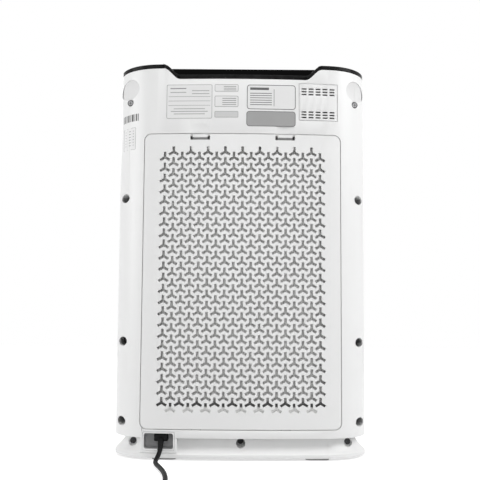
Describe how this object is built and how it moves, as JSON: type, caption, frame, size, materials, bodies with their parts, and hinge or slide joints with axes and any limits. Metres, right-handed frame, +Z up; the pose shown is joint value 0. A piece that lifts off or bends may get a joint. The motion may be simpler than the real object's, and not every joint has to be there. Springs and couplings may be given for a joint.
{
  "type": "air purifier",
  "caption": "Free-standing tower air purifier with a perforated lift-off rear cover, filter, centrifugal fan, top outlet grille, button panel and hand dip.",
  "frame": {"origin": "on the floor, under the middle of the body", "axes": "+Z up, +Y towards the back with the rear cover and the power inlet, +X to the left as the back is looked at"},
  "size_m": [0.35, 0.5021, 0.5406],
  "materials": {
    "white_shell": "fine satin texture",
    "white_inner": "satin",
    "gloss_black": "high gloss",
    "black_plastic": "fine matt texture",
    "dark_grey": "matt",
    "button_grey": "soft matt",
    "rubber_grey": "matt",
    "cord_black": "soft satin",
    "circuit_board": "solder mask",
    "board_parts": "mixed satin",
    "smoked_window": "gloss",
    "filter_paper": "pleated fibre",
    "carbon_cloth": "coarse mesh",
    "filter_foam": "foam",
    "filter_card": "card",
    "tab_cloth": "woven",
    "duct_plastic": "satin",
    "wheel_plastic": "satin",
    "steel": "brushed",
    "guard_wire": "bright wire",
    "motor_paint": "satin",
    "screw_steel": "zinc plated",
    "brass_pins": "plated"
  },
  "bodies": {
    "casing": {"rear_shell": "white_shell", "front_shell": "white_shell", "base_plinth": "white_shell", "base_plate": "white_inner", "feet": "rubber_grey", "top_cover": "gloss_black", "outlet_grille": "black_plastic", "control_panel": "gloss_black", "control_board": "circuit_board", "front_display": "smoked_window", "display_board": "circuit_board", "sensor_bay": "white_inner", "dust_sensor": "dark_grey", "filter_chamber": "white_inner", "fan_guard": "guard_wire", "filter_frame": "filter_card", "filter_media": "filter_paper", "filter_carbon": "carbon_cloth", "filter_gasket": "filter_foam", "filter_tab": "tab_cloth", "scroll_back": "duct_plastic", "scroll_housing": "duct_plastic", "outlet_duct": "duct_plastic", "fan_motor": "motor_paint", "motor_screws": "screw_steel", "power_board": "circuit_board", "power_parts": "board_parts", "inlet_socket": "dark_grey", "shell_screws": "screw_steel", "top_screws": "screw_steel", "base_screws": "screw_steel", "door_switch": "black_plastic", "plug_connector": "cord_black", "cord_tube": "cord_black", "cord_coil": "cord_black", "mains_plug": "cord_black", "plug_pins": "brass_pins"},
    "rear_cover": {"rear_cover": "white_shell", "cover_fittings": "white_shell"},
    "latch_left": {"latch_left": "white_shell"},
    "latch_right": {"latch_right": "white_shell"},
    "sensor_door": {"sensor_door": "white_shell"},
    "fan": {"fan_wheel": "wheel_plastic", "fan_shaft": "steel"},
    "button_power": {"button_power": "button_grey"},
    "button_speed": {"button_speed": "button_grey"},
    "button_timer": {"button_timer": "button_grey"},
    "button_mode": {"button_mode": "button_grey"},
    "button_lock": {"button_lock": "button_grey"}
  },
  "joints": [
    {"name": "rear_cover_hinge", "type": "hinge", "parent": "casing", "child": "rear_cover", "pos_m": [0, 0.102, 0.0419], "axis": [-1, 0, 0], "range_deg": [0, 45]},
    {"name": "latch_left_slide", "type": "slide", "parent": "rear_cover", "child": "latch_left", "axis": [0, 0, -1], "range_m": [0, 0.0032], "stiffness_N_per_m": 250, "springref_m": -0.004},
    {"name": "latch_right_slide", "type": "slide", "parent": "rear_cover", "child": "latch_right", "axis": [0, 0, -1], "range_m": [0, 0.0032], "stiffness_N_per_m": 250, "springref_m": -0.004},
    {"name": "fan_spin", "type": "hinge", "parent": "casing", "child": "fan", "pos_m": [0, 0, 0.235], "axis": [0, 1, 0], "continuous": true},
    {"name": "sensor_door_hinge", "type": "hinge", "parent": "casing", "child": "sensor_door", "pos_m": [-0.1296, 0.09398, 0.4875], "axis": [0, 0, 1], "range_deg": [0, 100]},
    {"name": "button_power_press", "type": "slide", "parent": "casing", "child": "button_power", "axis": [0, 0, -1], "range_m": [0, 0.0012], "stiffness_N_per_m": 600, "springref_m": -0.002},
    {"name": "button_speed_press", "type": "slide", "parent": "casing", "child": "button_speed", "axis": [0, 0, -1], "range_m": [0, 0.0012], "stiffness_N_per_m": 600, "springref_m": -0.002},
    {"name": "button_timer_press", "type": "slide", "parent": "casing", "child": "button_timer", "axis": [0, 0, -1], "range_m": [0, 0.0012], "stiffness_N_per_m": 600, "springref_m": -0.002},
    {"name": "button_mode_press", "type": "slide", "parent": "casing", "child": "button_mode", "axis": [0, 0, -1], "range_m": [0, 0.0012], "stiffness_N_per_m": 600, "springref_m": -0.002},
    {"name": "button_lock_press", "type": "slide", "parent": "casing", "child": "button_lock", "axis": [0, 0, -1], "range_m": [0, 0.0012], "stiffness_N_per_m": 600, "springref_m": -0.002}
  ]
}
